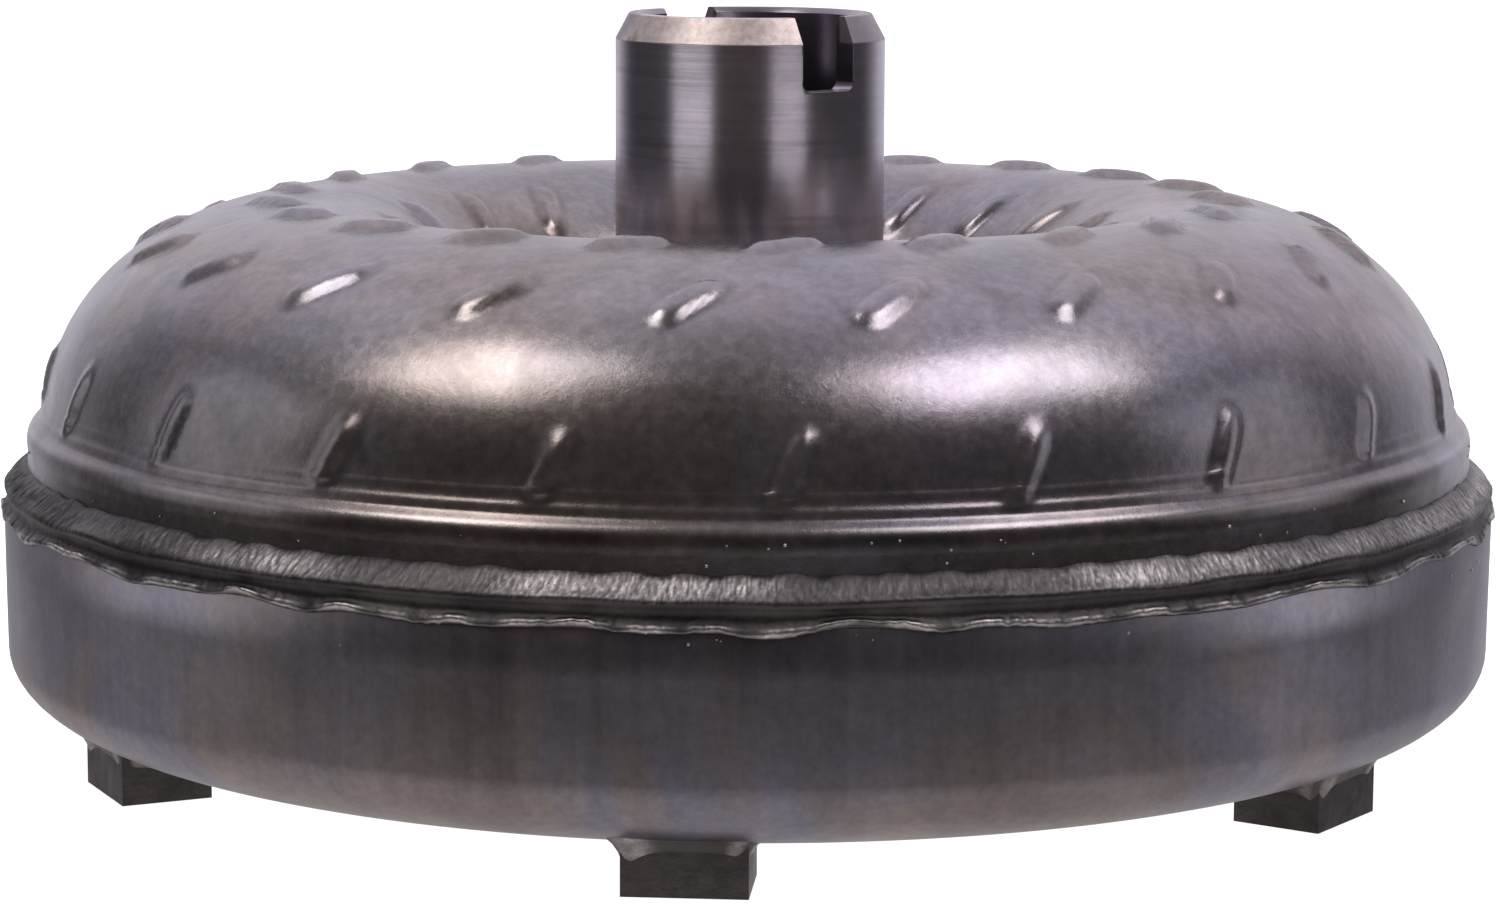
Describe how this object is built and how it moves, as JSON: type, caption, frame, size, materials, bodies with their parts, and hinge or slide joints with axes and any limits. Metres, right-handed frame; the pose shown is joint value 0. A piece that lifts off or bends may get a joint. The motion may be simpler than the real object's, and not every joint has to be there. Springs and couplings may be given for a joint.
{
  "type": "torque converter",
  "caption": "Welded lock-up torque converter: domed steel shell with blade-tab dimples on a dished cover, slotted pump hub above and drive lugs below.",
  "frame": {"origin": "on the turning axis, in the plane of the drive lug faces", "axes": "+Z along the turning axis towards the pump hub's end; -Y through the middle of the first drive lug"},
  "size_m": [0.2638, 0.2638, 0.1296],
  "materials": {
    "cover_steel": "heat-tinted, brushed",
    "shell_steel": "heat-tinted, satin",
    "pressed_steel": "satin",
    "ground_steel": "ground",
    "weld_steel": "rippled",
    "lug_steel": "dull",
    "blade_steel": "satin",
    "cast_aluminium": "cast",
    "friction_paper": "matt",
    "dark_plastic": "satin",
    "spring_steel": "satin"
  },
  "bodies": {
    "housing": {"front_cover": "cover_steel", "pilot_boss": "ground_steel", "drive_lug_1": "lug_steel", "drive_lug_2": "lug_steel", "drive_lug_3": "lug_steel", "drive_lug_4": "lug_steel", "drive_lug_5": "lug_steel", "drive_lug_6": "lug_steel", "impeller_shell": "shell_steel", "closing_weld": "weld_steel", "impeller_hub": "ground_steel", "hub_weld": "weld_steel", "impeller_blade_ring": "blade_steel", "front_bearing_race_lower": "ground_steel", "rear_bearing_race_upper": "ground_steel"},
    "turbine": {"turbine_hub": "ground_steel", "turbine_shell": "pressed_steel", "turbine_blade_ring": "blade_steel", "turbine_rivet_1": "ground_steel", "turbine_rivet_2": "ground_steel", "turbine_rivet_3": "ground_steel", "turbine_rivet_4": "ground_steel", "turbine_rivet_5": "ground_steel", "turbine_rivet_6": "ground_steel", "piston_seal_ring": "dark_plastic", "front_bearing_race_upper": "ground_steel", "middle_bearing_race_lower": "ground_steel"},
    "damper_output": {"damper_driven_plate": "pressed_steel"},
    "piston": {"lockup_piston": "pressed_steel", "friction_lining": "friction_paper", "spring_retainer": "pressed_steel", "damper_spring_1": "spring_steel", "damper_spring_2": "spring_steel", "damper_spring_3": "spring_steel", "damper_spring_4": "spring_steel", "damper_spring_5": "spring_steel", "damper_spring_6": "spring_steel"},
    "reaction_race": {"stator_inner_race": "ground_steel", "middle_bearing_race_upper": "ground_steel", "rear_bearing_race_lower": "ground_steel"},
    "stator": {"stator_wheel": "cast_aluminium", "clutch_cam_race": "ground_steel", "clutch_roller_1": "ground_steel", "clutch_roller_2": "ground_steel", "clutch_roller_3": "ground_steel", "clutch_roller_4": "ground_steel", "clutch_roller_5": "ground_steel", "clutch_roller_6": "ground_steel", "clutch_roller_7": "ground_steel", "clutch_roller_8": "ground_steel", "clutch_roller_cage": "dark_plastic", "clutch_end_plate_lower": "pressed_steel", "clutch_end_plate_upper": "pressed_steel"},
    "front_cage": {"front_bearing_needle_cage": "spring_steel"},
    "middle_cage": {"middle_bearing_needle_cage": "spring_steel"},
    "rear_cage": {"rear_bearing_needle_cage": "spring_steel"}
  },
  "joints": [
    {"name": "turbine_spin", "type": "hinge", "parent": "housing", "child": "turbine", "pos_m": [0, 0, 0.06], "axis": [0, 0, 1], "continuous": true},
    {"name": "lockup_apply", "type": "slide", "parent": "turbine", "child": "damper_output", "axis": [0, 0, -1], "range_m": [0, 0.001]},
    {"name": "damper_twist", "type": "hinge", "parent": "damper_output", "child": "piston", "pos_m": [0, 0, 0.06], "axis": [0, 0, 1], "range_deg": [-5, 5], "stiffness_Nm_per_rad": 300, "deforming": ["damper_spring_1", "damper_spring_2", "damper_spring_3", "damper_spring_4", "damper_spring_5", "damper_spring_6"]},
    {"name": "reaction_spin", "type": "hinge", "parent": "housing", "child": "reaction_race", "pos_m": [0, 0, 0.06], "axis": [0, 0, 1], "continuous": true},
    {"name": "stator_freewheel", "type": "hinge", "parent": "reaction_race", "child": "stator", "pos_m": [0, 0, 0.06], "axis": [0, 0, 1], "continuous": true},
    {"name": "front_cage_spin", "type": "hinge", "parent": "housing", "child": "front_cage", "pos_m": [0, 0, 0.06], "axis": [0, 0, 1], "continuous": true},
    {"name": "rear_cage_spin", "type": "hinge", "parent": "housing", "child": "rear_cage", "pos_m": [0, 0, 0.06], "axis": [0, 0, 1], "continuous": true},
    {"name": "middle_cage_spin", "type": "hinge", "parent": "turbine", "child": "middle_cage", "pos_m": [0, 0, 0.06], "axis": [0, 0, 1], "continuous": true}
  ],
  "couplings": [
    {"joint": "front_cage_spin", "follows": "turbine_spin", "ratio": 0.5},
    {"joint": "rear_cage_spin", "follows": "reaction_spin", "ratio": 0.5}
  ]
}
